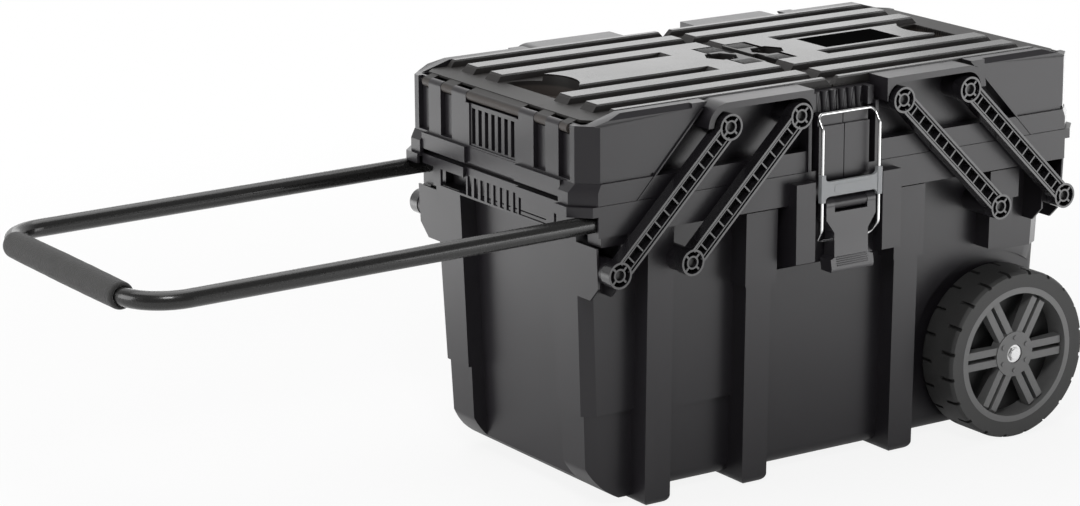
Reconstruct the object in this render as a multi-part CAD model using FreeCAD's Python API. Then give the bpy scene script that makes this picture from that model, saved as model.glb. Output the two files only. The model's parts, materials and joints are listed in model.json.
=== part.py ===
import FreeCAD, Part
import math
import os

# A wheeled tool box for a building site. A deep bin on two wheels carries a pull-out
# handle and two lidded trays. Each tray hangs on four arms, two at the front and two at
# the back, and swings up and out over the end of the bin. One wire latch at the front
# holds both trays shut.
#
# Millimetres. The origin is on the floor under the middle of the bin. +X runs along the
# box to the wheel end, -Y is the front with the latch, +Z is up. The left end is the
# handle end.

V = FreeCAD.Vector

# ---------------------------------------------------------------- driving dimensions

gap = 0.3                    # between pieces that move against each other
running_fit = 0.06           # radial, between a pin and its bore

# bin
wall = 3.0
foot_height = 7.0            # the floor of the bin above the ground
shoulder_z = 289.0           # top of the ribs, where the collar begins
end_panel_x = 268.0          # half length at the ground, between the end pilasters
end_draft = 0.044            # how fast the ends lean out, per mm of height
panel_y = 130.5              # half width at the ground, between the ribs
side_draft = 0.021
rib_depth = 21.5
rib_width = 31.0
rib_centres = (-217.0, -96.0, 94.0)
short_rib_centre = 221.0
short_rib_bottom = 204.0     # the fourth rib ends above the wheel
floor_round = 15.0
base_pad = (70.0, 24.0)      # half sizes of the pad under the middle of the floor
foot_round = 9.0
pilaster_depth = 18.5
pilaster_inner_y = 83.5
pilaster_outer_y = 122.0
pilaster_draft = 0.026       # the corner posts also lean out along the end
pilaster_step_z = (99.0, 193.0)   # at the handle end and at the wheel end
pilaster_step = 3.6
pilaster_chamfer = 13.7
panel_pad_z = 93.0
panel_step = 4.2             # the panels below their steps lie this much deeper
rib_pad = 4.0
rib_pad_z = 213.0
short_rib_pad_z = 257.0
heel_curve = ((247.0, 7.0), (274.0, 27.0), (290.0, 56.0))
corner_plate_y = 164.7       # plates either side of the lower outer bosses
corner_plate_low = 225.5
corner_plate_flat = 150.0    # the lower edge is level up to here, then slants
corner_plate_inner = 270.0
corner_plate_wall = 2.2

# rim of the bin
collar_x = 284.0
collar_y = 141.0
rim_x = 323.0
rim_bump_from = 127.0        # the corners of the rim stand out further than its ends
rim_end_x = 316.8
rim_grip_x = 313.1           # the slotted grip in the middle of each end
rim_grip_half = 48.5
rim_y = 167.2
rim_corner = 18.5
rim_plate = 3.0
rim_top = 323.2
band_height = 10.2
skirt_height = 21.4
skirt_wall = 2.8
end_skirt_half = 112.0
side_skirt_half = 298.0
grip_slot_count = 8
grip_slot_pitch = 12.1
grip_slot_width = 7.4
grip_slot_rise = 1.6         # the slots reach this far above the bottom of the band
hand_hole = (48.8, 98.0)     # from and to, along the end

# wheels
wheel_x = 226.2
wheel_r = 90.8
wheel_face_y = 184.0
tyre_width = 50.0
tyre_bore = 73.3
well_clear = 11.0
well_wall_y = 128.0
axle_r = 6.0
keeper_span = (60.0, 84.0)   # blocks below the axle, from and to along it
keeper_height = 14.0
hub_r = 24.5
hub_depth = 12.0
stud_r = 2.5
stud_circle = 18.0
stud_count = 6
spoke_pairs = 6
spoke_width = 8.0
spoke_gap = 4.4
rim_ring = 6.5
tread_blocks = 20
tread_groove = 4.0
tread_depth = 4.0
tyre_shoulder = (2.6, 5.0)   # fall of the radius at the face, and how far in it starts
hub_setback = 4.6
washer_r = 9.8
washer_thickness = 1.6
nut_r = 7.8
core_wall = 2.6              # the black inner wheel behind the spokes
core_setback = 27.0
core_ribs = 12

# arms
arm_length = 185.8
arm_lean = 45.4              # degrees from upright, towards the middle
arm_pivot_x = 284.4          # lower pivot of the outer arm
arm_pivot_z = 256.4
arm_spacing = 86.9
arm_face_y = 184.9
arm_depth = 14.0
arm_half_width = 10.0
arm_flange = 2.3
arm_groove = 1.3             # between the flange and a lower rail inside it
arm_rail = 1.3
arm_back = 3.0
arm_web = 1.6
arm_web_count = 11
ring_r = 13.5
ring_wall = 2.2
pin_r = 5.0
pin_wall = 1.9
spoke = 2.2
boss_r = 12.8
pin_recess = 5.0             # the pin ends short of the arm's face

# trays
tray_gap = 0.5               # from the middle plane to each tray
pivot_below_top = 15.1       # the upper pivots lie this far below the tray's top
tray_band_height = 21.5
tray_end_x = 312.6
tray_y = 165.3
tray_corner = 18.0
band_out = 4.2
band_grip_half = 46.0        # the band lies deeper in the middle of the end
band_grip_out = 0.5
band_corner_out = 6.4        # and stands out at the corners, where it is lower
band_corner_from = 128.0
band_corner_top = 13.0
band_lift = 5.0              # the lower edge of the band along the end
band_front_out = 1.2
band_groove = (1.6, 3.5)     # depth and height of the groove above the band
tray_floor = 3.5
pocket_depth = 5.2           # between the straps of the end wall
cavity_y = 147.0
recess_y = 151.5             # the wall behind the arms
diagonal_low_x = 230.0
diagonal_high_x = 176.0
diagonal_rib = 1.6
corner_rim_y = 150.2         # inner face of the raised rim near the corners
corner_rim_rise = 9.6        # above the top of the tray
corner_rim_from = 168.0
corner_rim_to = 268.0
corner_rim_bevel = 5.0
corner_rim_plain = 18.0      # the bevel starts this far along
nose_width = 32.0
nose_y = 169.8
nose_lip_y = 167.2
nose_lip_height = 10.9
nose_below_top = 22.6
tongue_below = 10.0          # it hangs this far in front of the rim
nose_slot = 8.5
slot_rib = 4.0
flute_count = 3
flute_depth = 9.0
flute_top_r = 4.6
flute_low_r = 2.2
hood_y = 180.0
hood_gap = 4.0
hood_wall = 6.6
divider_places = (106.0, 206.0)
divider_wall = 2.5
strap_bands = ((48.6, 75.5), (96.8, 119.7), (139.4, 147.3))
grille_half = 42.5
grille_inset = 1.4
grille_depth = 4.0
grille_bar = 5.6
grille_slots = 7
grille_pitch = 12.0

# lids
lid_gap = 0.9                # from the middle plane to each lid
lid_floor = 2.5
ridge_height = 7.4
lid_end_x = 300.0
lid_y = 149.4
lid_corner = 10.0
ridge_start = 9.0
ridge_end = 266.0
end_slope = 7.0
side_slope = 1.4
ridge_bands = ((53.0, 74.0), (99.0, 118.5), (142.0, 148.0))
plateau_half = 32.0
plateau_wide_to = 70.0
scoop_x = 262.0
scoop_r = 46.0
scoop_depth = 15.0
scoop_bridge = 10.0          # from the raised middle to the scoop's centre
hinge_x = 307.2
hinge_below_top = 5.3
hinge_pin_half = 144.0
hinge_pin_r = 2.2
knuckle_r = 5.4
outer_knuckle_end = 133.0
pocket_x = 29.5
pocket_r = 19.0
catch_from = 5.0
catch_to = 30.5
catch_half = 46.0
catch_travel = 4.0
catch_thickness = 3.0
plate_from = 88.0
plate_to = 188.0
plate_half = 26.0
plate_thickness = 0.8
plate_gap = 0.2
lid_flange = 4.0

# front latch
post_inner = 43.0
post_outer = 67.0
post_y = 180.0
post_bottom = 218.0
post_top = 315.0
latch_pad_y = 165.0
lever_pivot_y = 175.8
lever_pivot_z = 289.3
lever_pin_r = 2.5
lever_knuckle_r = 7.3
lever_half = 31.5
lever_waist = 21.5
lever_foot = 27.0
lever_bottom = 220.0
lever_wall = 3.0
lever_shoulder = 14.0        # height of the slope between shoulder and waist
lever_waist_above = 10.0     # the waist ends this far above the wire's ends
lever_foot_height = 15.0
lug_half = 20.5
wire_r = 1.6
wire_pivot_z = 250.5
wire_pivot_y = 171.0
wire_leg_x = 36.1
wire_leg_y = 181.3
wire_low_x = 33.8
wire_kick = 13.5             # height of the slanting runs at both ends of a leg
wire_bend = 6.5
wire_above_nose = 2.3
clip_low = 293.0
clip_high = 321.5
clip_bar_low = 299.0
clip_bar_high = 314.0
clip_sleeve = 2.7            # half width of the sleeve round each leg
clip_flare = 6.0
clip_setback = 0.8           # of the bar behind the faces of the sleeves

# pull-out handle
tube_r = 9.0
tube_wall = 1.5
plug_length = 12.0
plug_head = 3.0
grip_round = 3.0
tube_y = 155.0
tube_entry_x = -293.0
tube_entry_z = 303.8
tube_droop = 0.6             # degrees that the legs fall towards the grip
tube_inner_end = 168.0       # length of leg held inside the rim
tube_reach = 491.0           # from the entry to the middle of the cross bar
tube_bend = 47.0
grip_r = 14.0
grip_half = 114.0
guide_length = 31.0
guide_flange_y = 120.0       # the outer end of the guide reaches in to here
guide_bottom = 281.0


# ---------------------------------------------------------------- derived places

band_bottom = rim_top - band_height
skirt_bottom = band_bottom - skirt_height
tray_bottom = rim_top + gap
tray_band_top = tray_bottom + tray_band_height
arm_inner_y = arm_face_y - arm_depth
boss_face_y = arm_inner_y - gap
lean = math.radians(arm_lean)
arm_dx = arm_length * math.sin(lean)
arm_dz = arm_length * math.cos(lean)
inner_pivot_x = arm_pivot_x - arm_spacing
upper_outer_x = arm_pivot_x - arm_dx
upper_inner_x = inner_pivot_x - arm_dx
upper_z = arm_pivot_z + arm_dz
wheel_z = wheel_r
tray_top = upper_z + pivot_below_top
lid_bottom = tray_top + gap
lid_floor_top = lid_bottom + lid_floor
lid_top = lid_floor_top + ridge_height
corner_rim_top = tray_top + corner_rim_rise
nose_top = tray_top - nose_below_top
wire_top_z = nose_top + wire_above_nose
hinge_z = tray_top - hinge_below_top
tray_inner_end = tray_end_x - pocket_depth - wall


# ---------------------------------------------------------------- small helpers

def box(x0, x1, y0, y1, z0, z1):
    return Part.makeBox(x1 - x0, y1 - y0, z1 - z0, V(x0, y0, z0))


def polygon(points):
    return Part.Face(Part.makePolygon(points + [points[0]]))


def prism_z(points, z0, z1):
    return polygon([V(x, y, z0) for x, y in points]).extrude(V(0, 0, z1 - z0))


def prism_y(points, y0, y1):
    return polygon([V(x, y0, z) for x, z in points]).extrude(V(0, y1 - y0, 0))


def prism_x(points, x0, x1):
    return polygon([V(x0, y, z) for y, z in points]).extrude(V(x1 - x0, 0, 0))


def frustum(low, z0, high, z1):
    """A solid between two outlines of as many corners at two heights."""
    wires = []
    for points, z in ((low, z0), (high, z1)):
        corners = [V(x, y, z) for x, y in points]
        wires.append(Part.makePolygon(corners + [corners[0]]))
    return Part.makeLoft(wires, True, True)


def rectangle(x0, x1, y0, y1):
    return [(x0, y0), (x1, y0), (x1, y1), (x0, y1)]


def rod_y(x, z, radius, y0, y1):
    return Part.makeCylinder(radius, y1 - y0, V(x, y0, z), V(0, 1, 0))


def rod_x(y, z, radius, x0, x1):
    return Part.makeCylinder(radius, x1 - x0, V(x0, y, z), V(1, 0, 0))


def rod_z(x, y, radius, z0, z1):
    return Part.makeCylinder(radius, z1 - z0, V(x, y, z0), V(0, 0, 1))


def fuse(shapes):
    return shapes[0].fuse(shapes[1:]).removeSplitter()


def cut(shape, tools):
    return shape.cut(tools).removeSplitter()


def left_of(shape):
    """The same piece at the left end, mirrored in the middle plane."""
    return shape.mirror(V(0, 0, 0), V(1, 0, 0))


def rear_of(shape):
    return shape.mirror(V(0, 0, 0), V(0, 1, 0))


def front_and_rear(shapes):
    return shapes + [rear_of(shape) for shape in shapes]


def four_ways(shapes):
    halves = front_and_rear(shapes)
    return halves + [left_of(shape) for shape in halves]


def turned(shape, angle, centre, axis=V(0, 1, 0)):
    copy = shape.copy()
    copy.rotate(centre, axis, angle)
    return copy


def horizontal_edges(shape, z, keep):
    """The level edges of a block at height z whose middle passes the test."""
    chosen = []
    for edge in shape.Edges:
        bounds = edge.BoundBox
        if abs(bounds.ZMin - z) < 0.01 and abs(bounds.ZMax - z) < 0.01:
            if keep(edge.CenterOfMass):
                chosen.append(edge)
    return chosen


# ---------------------------------------------------------------- bin

def end_x(z):
    return end_panel_x + end_draft * z


def side_y(z):
    return panel_y + side_draft * z


def rib_block(centre, z0, z1, depth, half_width, inset, rounded):
    """One upright rib of a long side at the rear. Its face follows the side's draft."""
    reach = half_width - inset
    low = rectangle(centre - reach, centre + reach,
                    panel_y - rib_width, side_y(z0) + depth - inset)
    high = rectangle(centre - reach, centre + reach,
                     panel_y - rib_width, side_y(z1) + depth - inset)
    block = frustum(low, z0, high, z1)
    if rounded:
        lower = horizontal_edges(block, z0, lambda middle: middle.y > panel_y - rib_width + 1)
        block = block.makeFillet(foot_round - inset, lower)
    return block


def pilaster(z0, z1, step, inset):
    """A corner post of the right end, drawn at the rear. Step draws its faces in."""
    def outline(z):
        face = end_x(z) + pilaster_depth - step - inset
        outer = pilaster_outer_y + pilaster_draft * z - inset / 2
        side = side_y(z) - step - inset
        return [(short_rib_centre, pilaster_inner_y + inset), (face, pilaster_inner_y + inset),
                (face, outer), (face - pilaster_chamfer, side), (short_rib_centre, side)]
    return frustum(outline(z0), z0, outline(z1), z1)


def side_panel(from_x, to_x, z0, inset):
    """A flat of the long side at the rear, from the middle plane out to its face."""
    high = shoulder_z - inset
    low = z0 + inset
    panel = frustum(rectangle(from_x + inset, to_x - inset, 0, side_y(low) - inset), low,
                    rectangle(from_x + inset, to_x - inset, 0, side_y(high) - inset), high)
    if z0 <= foot_height:
        lower = horizontal_edges(panel, low, lambda middle: middle.y > panel_y - rib_width)
        lower = [edge for edge in lower if edge.BoundBox.XLength > 1]
        panel = panel.makeFillet(floor_round - inset, lower)
    return panel


def bin_form(inset):
    """The bin's outside up to the shoulder or, drawn in by the wall, its hollow."""
    low, high = foot_height + inset, shoulder_z - inset
    deeper = panel_step + inset
    core = frustum(rectangle(-end_x(low) + inset, end_x(low) - inset,
                             -side_y(low) + deeper, side_y(low) - deeper), low,
                   rectangle(-end_x(high) + inset, end_x(high) - inset,
                             -side_y(high) + deeper, side_y(high) - deeper), high)
    core = core.makeFillet(floor_round - inset, horizontal_edges(core, low, lambda middle: True))
    pieces = []
    for centre in rib_centres:
        pieces.append(rib_block(centre, inset, high, rib_depth, rib_width / 2, inset, True))
    pieces.append(rib_block(short_rib_centre, short_rib_bottom + inset, high,
                            rib_depth, rib_width / 2, inset, False))
    for centre, pad_z in ((rib_centres[1], rib_pad_z), (rib_centres[2], rib_pad_z),
                          (short_rib_centre, short_rib_pad_z)):
        pieces.append(rib_block(centre, pad_z + inset, high,
                                rib_depth + rib_pad, rib_width / 2 + rib_pad, inset, False))
    places = list(rib_centres) + [short_rib_centre]
    for from_x, to_x, pad_z in zip(places, places[1:], (panel_pad_z, foot_height, panel_pad_z)):
        pieces.append(side_panel(from_x, to_x, pad_z, inset))
    shapes = [core] + front_and_rear(pieces)
    post = pilaster(foot_height + inset, high, pilaster_step, inset)
    handle_end = left_of(pilaster(pilaster_step_z[0] + inset, high, 0, inset))
    wheel_end = pilaster(pilaster_step_z[1] + inset, high, 0, inset)
    return fuse(shapes + four_ways([post]) + front_and_rear([handle_end, wheel_end]))


def heel_wedge(inset):
    """What is taken off below the right end, a curve that clears a kerb."""
    curve = [V(x - inset, -rim_y, z + inset / 2) for x, z in heel_curve]
    out_x = end_x(0) + 2 * pilaster_depth
    corners = [curve[2], V(out_x, -rim_y, curve[2].z + pilaster_depth), V(out_x, -rim_y, -1),
               V(curve[0].x, -rim_y, -1), curve[0]]
    edges = [Part.Arc(curve[0], curve[1], curve[2]).toShape()]
    for start, end in zip(corners, corners[1:]):
        edges.append(Part.LineSegment(start, end).toShape())
    return Part.Face(Part.Wire(edges)).extrude(V(0, 2 * rim_y, 0))


def wheel_well(radius, from_y):
    return rod_y(wheel_x, wheel_z, radius, from_y, rim_y)


def axle_slot(radius, low_z):
    """The slot across the floor that the axle is pushed up into."""
    slot = box(wheel_x - radius, wheel_x + radius, -rim_y, rim_y, low_z, wheel_z)
    return slot.fuse(rod_y(wheel_x, wheel_z, radius, -rim_y, rim_y))


def rim_outline(inset):
    """The plan of the rim: a grip in the middle of each end, and corners that stand out."""
    side = rim_y - inset
    quarter = [(rim_grip_x - inset, rim_grip_half), (rim_end_x - inset, rim_grip_half),
               (rim_end_x - inset, rim_bump_from), (rim_x - inset, rim_bump_from),
               (rim_x - inset, side - rim_corner), (rim_x - inset - rim_corner, side)]
    rear = quarter + [(-x, y) for x, y in reversed(quarter)]
    return rear + [(x, -y) for x, y in reversed(rear)]


def rim():
    """The collar, the level rim and the skirt that hangs from it."""
    collar = box(-collar_x, collar_x, -collar_y, collar_y, shoulder_z - wall, rim_top)
    band = prism_z(rim_outline(0), band_bottom, rim_top).cut(
        prism_z(rim_outline(skirt_wall), band_bottom, rim_top - rim_plate))
    side = box(-side_skirt_half, side_skirt_half, rim_y - skirt_wall, rim_y,
               skirt_bottom, rim_top - rim_plate / 2)
    end = box(rim_grip_x - skirt_wall, rim_grip_x, -end_skirt_half, end_skirt_half,
              skirt_bottom, rim_top - rim_plate / 2)
    openings = []
    bar = skirt_wall * 0.8
    for index in range(grip_slot_count):
        middle = (index - (grip_slot_count - 1) / 2) * grip_slot_pitch
        openings.append(box(rim_grip_x - 2 * skirt_wall, rim_grip_x + 1,
                            middle - grip_slot_width / 2, middle + grip_slot_width / 2,
                            skirt_bottom + bar, band_bottom + grip_slot_rise))
    for side_sign in (-1, 1):
        near, far = sorted(side_sign * y for y in hand_hole)
        openings.append(box(rim_grip_x - 2 * skirt_wall, rim_grip_x + 1, near, far,
                            skirt_bottom + bar, band_bottom))
    shapes = fuse([collar, band, end, left_of(end)] + front_and_rear([side]))
    return shapes.cut(openings + [left_of(opening) for opening in openings])


def corner_plate(x0, x1, top):
    """An upright plate beside a lower outer boss at the rear, its lower corner slanting."""
    reach = corner_plate_y - corner_plate_flat
    profile = [(panel_y - wall, corner_plate_low), (corner_plate_flat, corner_plate_low),
               (corner_plate_y, corner_plate_low + reach), (corner_plate_y, top),
               (panel_y - wall, top)]
    return prism_x(profile, x0, x1)


def corner_plates():
    """The plates of the two rear corners. The end one is flush with the end."""
    low_x, high_x = end_x(0) + pilaster_depth, end_x(rim_top) + pilaster_depth
    slab = prism_y([(low_x - corner_plate_wall, 0), (low_x, 0), (high_x, rim_top),
                    (high_x - corner_plate_wall, rim_top)], 0, rim_y)
    inner = corner_plate(corner_plate_inner, corner_plate_inner + corner_plate_wall, guide_bottom)
    wheel_end = corner_plate(low_x, high_x, rim_top - rim_plate / 2).common(slab)
    handle_end = corner_plate(low_x, high_x, guide_bottom).common(slab)
    return [inner, left_of(inner), wheel_end, left_of(handle_end)]


def latch_mounting():
    """The pad between the two front posts, its central lug and the posts themselves."""
    pad = box(-post_outer, post_outer, -latch_pad_y, -panel_y, post_bottom, shoulder_z)
    post = box(post_inner, post_outer, -post_y, -panel_y, post_bottom, shoulder_z)
    upper = box(post_inner, post_outer, -post_y, -rim_y + skirt_wall, shoulder_z - 1, post_top)
    foot_slope = prism_x([(-post_y - 1, post_bottom - 1), (-panel_y, post_bottom - 1),
                          (-post_y - 1, post_bottom + post_y - latch_pad_y)],
                         -post_outer - 1, post_outer + 1)
    lug_r = lever_knuckle_r - 2 * gap
    lug = box(-lug_half, lug_half, -lever_pivot_y, -latch_pad_y,
              lever_pivot_z - lug_r, lever_pivot_z + lug_r)
    lug = lug.fuse(rod_x(-lever_pivot_y, lever_pivot_z, lug_r, -lug_half, lug_half))
    return [pad, post, left_of(post), upper, left_of(upper), lug], foot_slope


def lower_bosses():
    """Posts that carry the lower ends of the arms, drawn at the right rear."""
    root_y = side_y(arm_pivot_z) - wall
    return [rod_y(x, arm_pivot_z, boss_r, root_y, boss_face_y)
            for x in (arm_pivot_x, inner_pivot_x)]


def bin_shell():
    outside = bin_form(0)
    mounting, foot_slope = latch_mounting()
    pad = box(-base_pad[0], base_pad[0], -base_pad[1], base_pad[1], 0, foot_height + wall)
    outside = fuse([outside, pad, rim()] + four_ways(lower_bosses()) + mounting
                   + front_and_rear(corner_plates()))
    hollow = bin_form(wall)
    keep = [wheel_well(wheel_r + well_clear + wall, well_wall_y - wall),
            axle_slot(axle_r + wall, 0)]
    keep.append(rear_of(keep[0]))
    thick_heel = heel_wedge(wall)
    keep += [thick_heel, left_of(thick_heel)]
    hollow = hollow.cut(keep)
    top = box(-collar_x + wall, collar_x - wall, -collar_y + wall, collar_y - wall,
              shoulder_z - 2 * wall, rim_top + 1)
    wells = front_and_rear([wheel_well(wheel_r + well_clear, well_wall_y)])
    heel = heel_wedge(0)
    latch_bore = rod_x(-lever_pivot_y, lever_pivot_z, lever_pin_r, -lug_half - 1, lug_half + 1)
    tools = [hollow, top, axle_slot(axle_r, -1), foot_slope, heel, left_of(heel), latch_bore]
    return cut(outside, tools + wells)


def lower_pins():
    pins = []
    for x in (arm_pivot_x, inner_pivot_x):
        pins.append(rod_y(x, arm_pivot_z, pin_r, boss_face_y, arm_face_y - pin_recess))
    return Part.Compound(four_ways(pins))


# ---------------------------------------------------------------- wheels and axle

def tyre():
    """A solid tyre at the rear, with square blocks round both shoulders."""
    outer, inner = wheel_face_y, wheel_face_y - tyre_width
    fall, run = tyre_shoulder
    profile = [(tyre_bore, inner + 1), (wheel_r - fall, inner), (wheel_r - fall / 4, inner + run / 2),
               (wheel_r, inner + run), (wheel_r, outer - run),
               (wheel_r - fall / 4, outer - run / 2), (wheel_r - fall, outer), (tyre_bore, outer - 1)]
    face = polygon([V(wheel_x + r, y, wheel_z) for r, y in profile])
    body = face.revolve(V(wheel_x, 0, wheel_z), V(0, 1, 0), 360)
    body = Part.Solid(body) if body.ShapeType == "Shell" else body
    grooves = []
    step = 360.0 / tread_blocks
    for index in range(tread_blocks):
        for near, far, shift in ((inner - 1, inner + tyre_width * 0.36, 0),
                                 (outer - tyre_width * 0.36, outer + 1, step / 2)):
            groove = box(wheel_x + wheel_r - tread_depth, wheel_x + wheel_r + 1, near, far,
                         wheel_z - tread_groove / 2, wheel_z + tread_groove / 2)
            grooves.append(turned(groove, index * step + shift, V(wheel_x, 0, wheel_z)))
    return cut(body, grooves)


def hub_face_y():
    return wheel_face_y - hub_setback


def washer_seat():
    """The floor of the round pocket in the hub that takes the washer."""
    return hub_face_y() - 2 * washer_thickness


def spoke_bar(middle_z):
    """One bar of a pair along +X. Its outer end slopes back to the ring."""
    front, back = hub_face_y() - 1.0, hub_face_y() - 9.0
    start, end = wheel_x + hub_r * 0.6, wheel_x + tyre_bore - rim_ring / 2
    bend = end - rim_ring
    plan = [(start, back), (end, back - 6.0), (end, front - 7.0), (bend, front), (start, front)]
    return prism_z(plan, middle_z - spoke_width / 2, middle_z + spoke_width / 2)


def wheel_rim():
    """Six pairs of spokes between a hub and a ring."""
    outer, inner = wheel_face_y - 1.0, wheel_face_y - tyre_width + 2.0
    ring = rod_y(wheel_x, wheel_z, tyre_bore, inner, outer).cut(
        rod_y(wheel_x, wheel_z, tyre_bore - rim_ring, inner - 1, outer + 1))
    face = hub_face_y()
    hub = rod_y(wheel_x, wheel_z, hub_r, face - hub_depth, face)
    parts = [ring, hub]
    offset = (spoke_width + spoke_gap) / 2
    for pair in range(spoke_pairs):
        for sign in (-1, 1):
            bar = spoke_bar(wheel_z + sign * offset)
            parts.append(turned(bar, pair * 360.0 / spoke_pairs, V(wheel_x, 0, wheel_z)))
    for index in range(stud_count):
        stud = rod_y(wheel_x + stud_circle, wheel_z, stud_r, face - 1, face + 1.2)
        parts.append(turned(stud, (index + 0.5) * 360.0 / stud_count, V(wheel_x, 0, wheel_z)))
    body = fuse(parts)
    seat = rod_y(wheel_x, wheel_z, washer_r + gap, washer_seat(), face + 1)
    bore = rod_y(wheel_x, wheel_z, axle_r + running_fit, face - hub_depth - 1, face + 1)
    return cut(body, [seat, bore])


def wheel_core():
    """The inner wheel behind the spokes: a disc, its ribs and the hub on the axle."""
    back = wheel_face_y - core_setback - core_wall
    reach = tyre_bore - rim_ring
    disc = rod_y(wheel_x, wheel_z, reach, back, back + core_wall)
    hub_end = hub_face_y() - hub_depth
    hub = rod_y(wheel_x, wheel_z, hub_r * 0.6, well_wall_y + gap, hub_end)
    parts = [disc, hub]
    low_y = wheel_face_y - tyre_width + 6.0
    for index in range(core_ribs):
        rib = box(wheel_x + hub_r * 0.5, wheel_x + reach - 0.5, low_y, back + 1,
                  wheel_z - core_wall / 2, wheel_z + core_wall / 2)
        parts.append(turned(rib, (index + 0.5) * 360.0 / core_ribs, V(wheel_x, 0, wheel_z)))
    bore = rod_y(wheel_x, wheel_z, axle_r + running_fit, well_wall_y - 1, hub_end + 1)
    return cut(fuse(parts), [bore])


def axle_end():
    return hub_face_y() + 1.4


def axle():
    return rod_y(wheel_x, wheel_z, axle_r, -axle_end(), axle_end())


def axle_washers():
    washer = rod_y(wheel_x, wheel_z, washer_r, washer_seat() + gap,
                   washer_seat() + gap + washer_thickness)
    return Part.Compound(front_and_rear([washer.cut(rod_y(wheel_x, wheel_z, axle_r, 0, rim_y * 2))]))


def axle_nuts():
    corners = [(wheel_x + nut_r * math.cos(math.radians(60 * k)),
                wheel_z + nut_r * math.sin(math.radians(60 * k))) for k in range(6)]
    nut = prism_y(corners, washer_seat() + gap + washer_thickness, hub_face_y() + 0.6)
    nut = nut.cut(rod_y(wheel_x, wheel_z, axle_r, 0, rim_y * 2))
    return Part.Compound(front_and_rear([nut]))


def axle_keepers():
    """Blocks pressed into the slot below the axle."""
    keeper = box(wheel_x - axle_r, wheel_x + axle_r, keeper_span[0], keeper_span[1],
                 wheel_z - axle_r - keeper_height, wheel_z - axle_r)
    return Part.Compound(front_and_rear([keeper]))


# ---------------------------------------------------------------- arms

def arm():
    """One arm along +X from the origin, its open side towards +Y, its back on y = 0."""
    def ring(x):
        outer = rod_y(x, 0, ring_r, 0, arm_depth).cut(rod_y(x, 0, ring_r - ring_wall, -1, arm_depth + 1))
        hub = rod_y(x, 0, pin_r + pin_wall, 0, arm_depth - 1)
        bars = [box(x - ring_r + 1, x + ring_r - 1, 1, arm_depth - 1, -spoke / 2, spoke / 2),
                box(x - spoke / 2, x + spoke / 2, 1, arm_depth - 1, -ring_r + 1, ring_r - 1)]
        return [outer, hub] + bars
    start = ring_r - ring_wall
    back = box(start, arm_length - start, 0, arm_back, -arm_half_width, arm_half_width)
    along = math.sqrt(ring_r ** 2 - arm_half_width ** 2) - 0.5
    flange = box(along, arm_length - along, 0, arm_depth, arm_half_width - arm_flange, arm_half_width)
    inside = arm_half_width - arm_flange - arm_groove
    step = box(along, arm_length - along, 0, arm_depth - 3.0, inside - arm_rail, arm_half_width)
    rail = box(along, arm_length - along, 0, arm_depth - 1.0, inside - arm_rail, inside)
    flanges = [flange, step, rail]
    flanges += [shape.mirror(V(0, 0, 0), V(0, 0, 1)) for shape in flanges]
    webs = []
    first = ring_r + 6.0
    pitch = (arm_length - 2 * first) / (arm_web_count - 1)
    for index in range(arm_web_count):
        x = first + index * pitch
        webs.append(box(x - arm_web / 2, x + arm_web / 2, 0, arm_depth - 1.5,
                        -inside + arm_rail / 2, inside - arm_rail / 2))
    body = fuse(ring(0) + ring(arm_length) + [back] + flanges + webs)
    bores = [rod_y(x, 0, pin_r + running_fit, -1, arm_depth + 1) for x in (0, arm_length)]
    return cut(body, bores)


def placed_arm(straight, pivot_x):
    """The arm at the right rear, from its lower pivot up towards the middle."""
    body = turned(straight, -(90.0 + arm_lean), V(0, 0, 0))
    body.translate(V(pivot_x, arm_inner_y, arm_pivot_z))
    return body


# ---------------------------------------------------------------- trays

def tray_outline(end, half_width, corner):
    return [(tray_gap, -half_width), (end - corner, -half_width), (end, -half_width + corner),
            (end, half_width - corner), (end - corner, half_width), (tray_gap, half_width)]


def hood():
    """A ledge over the two upper pivots, drawn at the rear: round outside, square inside."""
    inner_r = ring_r + hood_gap
    outer_r = inner_r + hood_wall
    seam_x = upper_inner_x - inner_r - 1.0
    root_y = lid_y + gap
    block = fuse([box(seam_x, upper_outer_x, root_y, hood_y, upper_z, upper_z + outer_r),
                  rod_y(upper_outer_x, upper_z, outer_r, root_y, hood_y)])
    hollow = [box(upper_inner_x, upper_outer_x, recess_y, hood_y + 1, upper_z - 1, upper_z + inner_r),
              rod_y(upper_inner_x, upper_z, inner_r, recess_y, hood_y + 1),
              rod_y(upper_outer_x, upper_z, inner_r, recess_y, hood_y + 1)]
    hollow.append(box(seam_x - 1, upper_outer_x + 2 * outer_r, 0, hood_y + 1,
                      upper_z - 2 * outer_r, upper_z))
    return block.cut(hollow)


def tray_side_cuts():
    """What is taken off one long side at the rear: the recess behind the arms."""
    slot_x = nose_width + nose_slot
    top = corner_rim_top + 1
    rise = tray_top - tray_band_top
    lean_per_mm = (diagonal_low_x - diagonal_high_x) / rise
    high_x = diagonal_low_x - lean_per_mm * (top - tray_band_top)
    recess = prism_y([(slot_x, tray_band_top), (diagonal_low_x, tray_band_top),
                      (high_x, top), (slot_x, top)], recess_y, tray_y + 3)
    flute_bed = box(tray_gap - 1, nose_width + 1, tray_y - flute_depth, tray_y + 3, nose_top, top)
    groove = box(diagonal_low_x + diagonal_rib, tray_end_x - tray_corner, tray_y - band_groove[0], tray_y + 3,
                 tray_band_top, tray_band_top + band_groove[1])
    return [recess, flute_bed, groove]


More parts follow.
